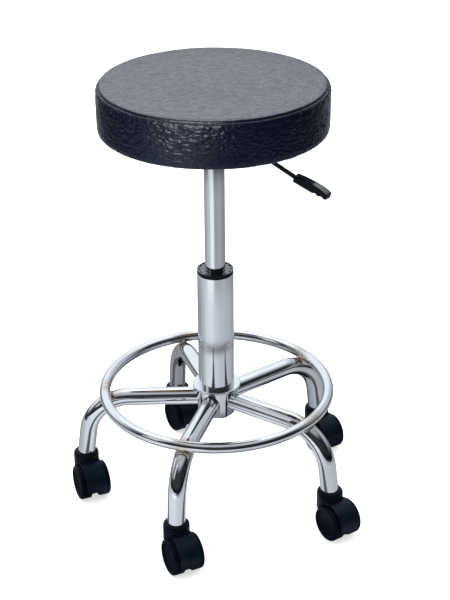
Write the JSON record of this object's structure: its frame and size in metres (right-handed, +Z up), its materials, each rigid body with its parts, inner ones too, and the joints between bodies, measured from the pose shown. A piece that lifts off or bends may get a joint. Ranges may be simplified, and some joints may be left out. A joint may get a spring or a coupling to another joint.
{
  "type": "rolling stylist stool",
  "caption": "Round padded stool on a gas lift with a swivel seat, a height lever, bent chrome tube legs, a footrest ring and twin-wheel casters.",
  "frame": {"origin": "on the floor, on the column's axis", "axes": "+Z up along the column; a leg points along -X; the height lever points between +X and -Y"},
  "size_m": [0.4064, 0.4298, 0.619],
  "materials": {
    "black_vinyl": "grained vinyl, semi-gloss",
    "seat_foam": "open-cell foam, matte",
    "plywood": "raw plywood, matte",
    "chrome": "polished chrome plate",
    "heat_tinted_weld": "plated weld bead with a light heat tint",
    "satin_chrome": "satin chrome, fine lengthwise grind",
    "black_steel": "black powder coat",
    "zinc_steel": "zinc plated",
    "ground_steel": "ground and polished",
    "brass": "machined brass",
    "black_bush_plastic": "moulded acetal, satin",
    "black_socket_plastic": "moulded plastic, satin",
    "grip_plastic": "moulded plastic, glossy",
    "caster_nylon": "moulded nylon, satin",
    "wheel_nylon": "moulded nylon, satin",
    "buffer_rubber": "black rubber, matte"
  },
  "bodies": {
    "base": {"column_tube": "chrome", "guide_bush": "black_bush_plastic", "bottom_plate": "zinc_steel", "lower_race": "ground_steel", "ball_cage": "brass", "thrust_balls": "ground_steel", "hub_socket": "zinc_steel", "hub_shroud": "chrome", "footrest_ring": "chrome", "ring_welds": "heat_tinted_weld", "leg_sockets": "black_socket_plastic", "grip_rings": "zinc_steel", "caster_stems": "zinc_steel", "leg_1": "chrome", "leg_2": "chrome", "leg_3": "chrome", "leg_4": "chrome", "leg_5": "chrome"},
    "rod": {"piston_rod": "ground_steel", "piston": "ground_steel", "upper_race": "ground_steel", "rubber_buffer": "buffer_rubber", "rod_clip": "zinc_steel"},
    "seat": {"seat_cover": "black_vinyl", "seat_foam": "seat_foam", "seat_board": "plywood", "cover_staples": "zinc_steel", "tee_nuts": "zinc_steel", "plate_bolts": "zinc_steel", "seat_plate": "black_steel", "cone_socket": "black_steel", "lever_pivot_pin": "zinc_steel", "gas_cylinder": "satin_chrome", "pressure_tube": "zinc_steel", "rod_guide": "black_bush_plastic", "valve_body": "brass"},
    "lever": {"lever_rod": "black_steel", "lever_grip": "grip_plastic"},
    "valve": {"valve_pin": "ground_steel"},
    "caster_1": {"caster_hood_1": "caster_nylon", "caster_axle_1": "zinc_steel"},
    "left_wheel_1": {"wheel_left_1": "wheel_nylon"},
    "right_wheel_1": {"wheel_right_1": "wheel_nylon"},
    "caster_2": {"caster_hood_2": "caster_nylon", "caster_axle_2": "zinc_steel"},
    "left_wheel_2": {"wheel_left_2": "wheel_nylon"},
    "right_wheel_2": {"wheel_right_2": "wheel_nylon"},
    "caster_3": {"caster_hood_3": "caster_nylon", "caster_axle_3": "zinc_steel"},
    "left_wheel_3": {"wheel_left_3": "wheel_nylon"},
    "right_wheel_3": {"wheel_right_3": "wheel_nylon"},
    "caster_4": {"caster_hood_4": "caster_nylon", "caster_axle_4": "zinc_steel"},
    "left_wheel_4": {"wheel_left_4": "wheel_nylon"},
    "right_wheel_4": {"wheel_right_4": "wheel_nylon"},
    "caster_5": {"caster_hood_5": "caster_nylon", "caster_axle_5": "zinc_steel"},
    "left_wheel_5": {"wheel_left_5": "wheel_nylon"},
    "right_wheel_5": {"wheel_right_5": "wheel_nylon"}
  },
  "joints": [
    {"name": "seat_swivel", "type": "hinge", "parent": "base", "child": "rod", "pos_m": [0, 0, 0.347], "axis": [0, 0, 1], "continuous": true},
    {"name": "gas_lift", "type": "slide", "parent": "rod", "child": "seat", "axis": [0, 0, 1], "range_m": [-0.13, 0]},
    {"name": "height_lever", "type": "hinge", "parent": "seat", "child": "lever", "pos_m": [0.02605, -0.02185, 0.551], "axis": [-0.6428, -0.766, 0], "range_deg": [0, 4], "stiffness_Nm_per_rad": 3, "springref_deg": -2.86},
    {"name": "valve_press", "type": "slide", "parent": "seat", "child": "valve", "axis": [0, 0, -1], "range_m": [0, 0.0024]},
    {"name": "caster_swivel_1", "type": "hinge", "parent": "base", "child": "caster_1", "pos_m": [-0.19, 0, 0.057], "axis": [0, 0, 1], "continuous": true},
    {"name": "left_wheel_roll_1", "type": "hinge", "parent": "caster_1", "child": "left_wheel_1", "pos_m": [-0.18283, -0.01867, 0.025], "axis": [0.9336, 0.3584, 0], "continuous": true},
    {"name": "right_wheel_roll_1", "type": "hinge", "parent": "caster_1", "child": "right_wheel_1", "pos_m": [-0.18283, -0.01867, 0.025], "axis": [0.9336, 0.3584, 0], "continuous": true},
    {"name": "caster_swivel_2", "type": "hinge", "parent": "base", "child": "caster_2", "pos_m": [-0.05871, -0.1807, 0.057], "axis": [0, 0, 1], "continuous": true},
    {"name": "left_wheel_roll_2", "type": "hinge", "parent": "caster_2", "child": "left_wheel_2", "pos_m": [-0.05058, -0.19897, 0.025], "axis": [0.9135, 0.4067, 0], "continuous": true},
    {"name": "right_wheel_roll_2", "type": "hinge", "parent": "caster_2", "child": "right_wheel_2", "pos_m": [-0.05058, -0.19897, 0.025], "axis": [0.9135, 0.4067, 0], "continuous": true},
    {"name": "caster_swivel_3", "type": "hinge", "parent": "base", "child": "caster_3", "pos_m": [0.15371, -0.11168, 0.057], "axis": [0, 0, 1], "continuous": true},
    {"name": "left_wheel_roll_3", "type": "hinge", "parent": "caster_3", "child": "left_wheel_3", "pos_m": [0.16431, -0.12864, 0.025], "axis": [0.848, 0.5299, 0], "continuous": true},
    {"name": "right_wheel_roll_3", "type": "hinge", "parent": "caster_3", "child": "right_wheel_3", "pos_m": [0.16431, -0.12864, 0.025], "axis": [0.848, 0.5299, 0], "continuous": true},
    {"name": "caster_swivel_4", "type": "hinge", "parent": "base", "child": "caster_4", "pos_m": [0.15371, 0.11168, 0.057], "axis": [0, 0, 1], "continuous": true},
    {"name": "left_wheel_roll_4", "type": "hinge", "parent": "caster_4", "child": "left_wheel_4", "pos_m": [0.1631, 0.09402, 0.025], "axis": [0.8829, 0.4695, 0], "continuous": true},
    {"name": "right_wheel_roll_4", "type": "hinge", "parent": "caster_4", "child": "right_wheel_4", "pos_m": [0.1631, 0.09402, 0.025], "axis": [0.8829, 0.4695, 0], "continuous": true},
    {"name": "caster_swivel_5", "type": "hinge", "parent": "base", "child": "caster_5", "pos_m": [-0.05871, 0.1807, 0.057], "axis": [0, 0, 1], "continuous": true},
    {"name": "left_wheel_roll_5", "type": "hinge", "parent": "caster_5", "child": "left_wheel_5", "pos_m": [-0.04932, 0.16304, 0.025], "axis": [0.8829, 0.4695, 0], "continuous": true},
    {"name": "right_wheel_roll_5", "type": "hinge", "parent": "caster_5", "child": "right_wheel_5", "pos_m": [-0.04932, 0.16304, 0.025], "axis": [0.8829, 0.4695, 0], "continuous": true}
  ],
  "couplings": [
    {"joint": "valve_press", "follows": "height_lever", "m_per_rad": 0.034}
  ]
}
